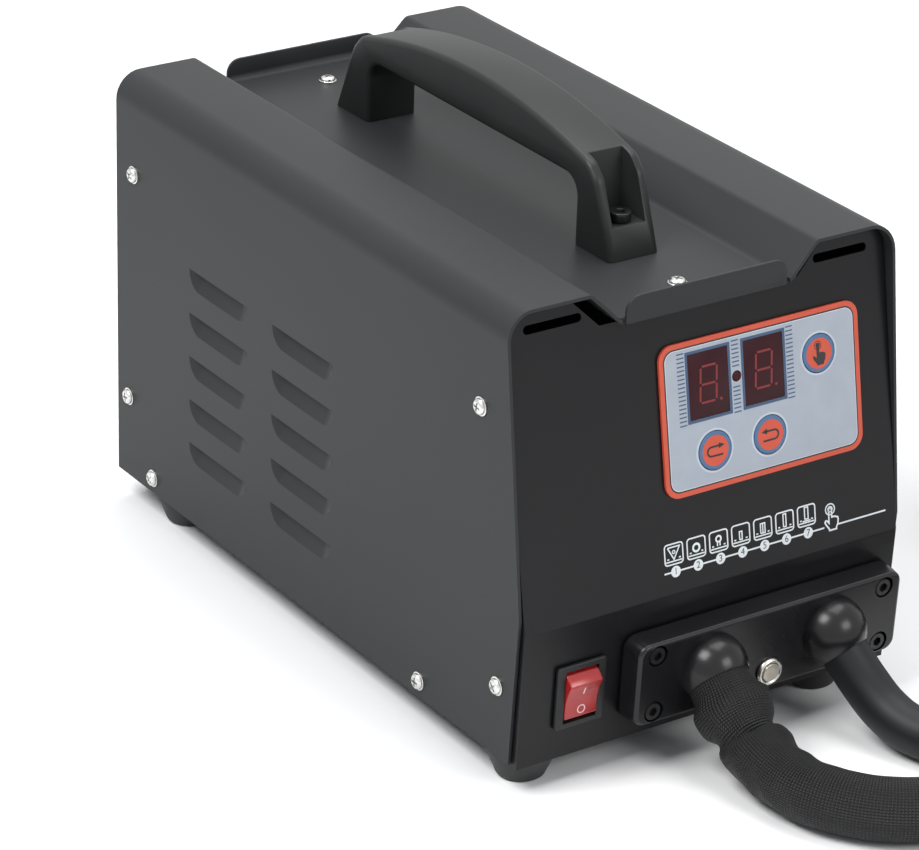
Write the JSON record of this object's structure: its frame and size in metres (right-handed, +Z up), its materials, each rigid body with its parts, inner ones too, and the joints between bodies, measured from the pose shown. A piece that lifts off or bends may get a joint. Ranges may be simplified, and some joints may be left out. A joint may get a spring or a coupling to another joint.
{
  "type": "dent pulling spot welder",
  "caption": "Sheet steel spot welding machine for pulling dents, with a control panel, a rocker switch, a carry handle, a sleeved gun lead with a spot gun, and an earth lead with a lug",
  "frame": {"origin": "on the floor under the middle of the machine, its leads, gun and lug left out", "axes": "+X to the right seen from the front, +Y to the rear, +Z up; the control panel faces -Y"},
  "size_m": [0.6226, 0.4881, 0.2577],
  "materials": {
    "cover_paint": "fine textured charcoal powder coat",
    "panel_paint": "black semi-gloss enamel",
    "black_plastic": "satin black moulded plastic",
    "gloss_black": "glossy black moulded plastic",
    "foot_rubber": "black rubber",
    "lead_rubber": "smooth matte black rubber",
    "sleeve": "woven black nylon sleeve over the lead",
    "zinc": "bright zinc plate",
    "black_steel": "blackened steel",
    "stainless": "brushed stainless steel",
    "film": "printed satin film, pale grey in an orange frame",
    "orange": "orange moulded plastic",
    "dark_red": "dark red filter",
    "red_lens": "clear red moulded plastic",
    "dark_lens": "dark lens",
    "board": "green circuit board",
    "core": "stacked sheets of core steel",
    "enamel_wire": "enamelled copper wire",
    "copper": "bare copper",
    "brass": "brass",
    "aluminium": "extruded aluminium"
  },
  "bodies": {
    "machine": {"top_cover": "cover_paint", "front_panel": "panel_paint", "rear_panel": "panel_paint", "base_tray": "cover_paint", "carry_handle": "black_plastic", "handle_bolt_front": "black_steel", "handle_bolt_rear": "black_steel", "control_overlay": "film", "display_board": "board", "digit_left": "dark_red", "digit_right": "dark_red", "status_light": "dark_lens", "switch_housing": "black_plastic", "connector_block": "gloss_black", "push_button_body": "stainless", "transformer_core": "core", "primary_winding": "enamel_wire", "secondary_winding": "copper", "gun_bar": "copper", "earth_bar": "copper", "heat_sink": "aluminium", "power_module": "black_plastic", "fan_frame": "black_plastic", "mains_gland": "black_plastic", "gun_lead": "sleeve", "gun_coil": "sleeve", "gun_body": "black_plastic", "gun_nose": "brass", "earth_lead": "lead_rubber", "earth_coil": "lead_rubber", "earth_lug": "copper", "foot_front_left": "foot_rubber", "foot_front_right": "foot_rubber", "tray_screw_front": "zinc", "foot_rear_left": "foot_rubber", "foot_rear_right": "foot_rubber", "tray_screw_rear": "zinc", "cover_screw_left_1": "zinc", "cover_screw_left_2": "zinc", "cover_screw_left_3": "zinc", "cover_screw_left_4": "zinc", "cover_screw_left_5": "zinc", "cover_screw_left_6": "zinc", "cover_screw_right_1": "zinc", "cover_screw_right_2": "zinc", "cover_screw_right_3": "zinc", "cover_screw_right_4": "zinc", "cover_screw_right_5": "zinc", "cover_screw_right_6": "zinc", "block_screw_1": "black_steel", "block_screw_2": "black_steel", "block_screw_3": "black_steel", "block_screw_4": "black_steel"},
    "rocker": {"switch_rocker": "red_lens"},
    "next_key": {"next_key": "orange"},
    "back_key": {"back_key": "orange"},
    "select_key": {"select_key": "orange"},
    "push_button": {"push_button_cap": "stainless"},
    "fan": {"fan_rotor": "black_plastic"},
    "trigger": {"gun_trigger": "orange"}
  },
  "joints": [
    {"name": "rocker_switch", "type": "hinge", "parent": "machine", "child": "rocker", "pos_m": [-0.0705, -0.15771, 0.04329], "axis": [1, 0, 0], "range_deg": [-20, 0]},
    {"name": "next_key_press", "type": "slide", "parent": "machine", "child": "next_key", "axis": [0, 0.9832, -0.1827], "range_m": [0, 0.0004], "stiffness_N_per_m": 1500, "springref_m": -0.0006},
    {"name": "back_key_press", "type": "slide", "parent": "machine", "child": "back_key", "axis": [0, 0.9832, -0.1827], "range_m": [0, 0.0004], "stiffness_N_per_m": 1500, "springref_m": -0.0006},
    {"name": "select_key_press", "type": "slide", "parent": "machine", "child": "select_key", "axis": [0, 0.9832, -0.1827], "range_m": [0, 0.0004], "stiffness_N_per_m": 1500, "springref_m": -0.0006},
    {"name": "push_button_press", "type": "slide", "parent": "machine", "child": "push_button", "axis": [0, 0.9992, 0.0412], "range_m": [0, 0.0015], "stiffness_N_per_m": 1200, "springref_m": -0.001},
    {"name": "fan_spin", "type": "hinge", "parent": "machine", "child": "fan", "pos_m": [0, 0.16608, 0.126], "axis": [0, 1, 0], "continuous": true},
    {"name": "trigger_pull", "type": "hinge", "parent": "machine", "child": "trigger", "pos_m": [0.39354, -0.09692, 0.017], "axis": [0, 0, -1], "range_deg": [-6, 0], "stiffness_Nm_per_rad": 1.5, "springref_deg": 5.73}
  ]
}
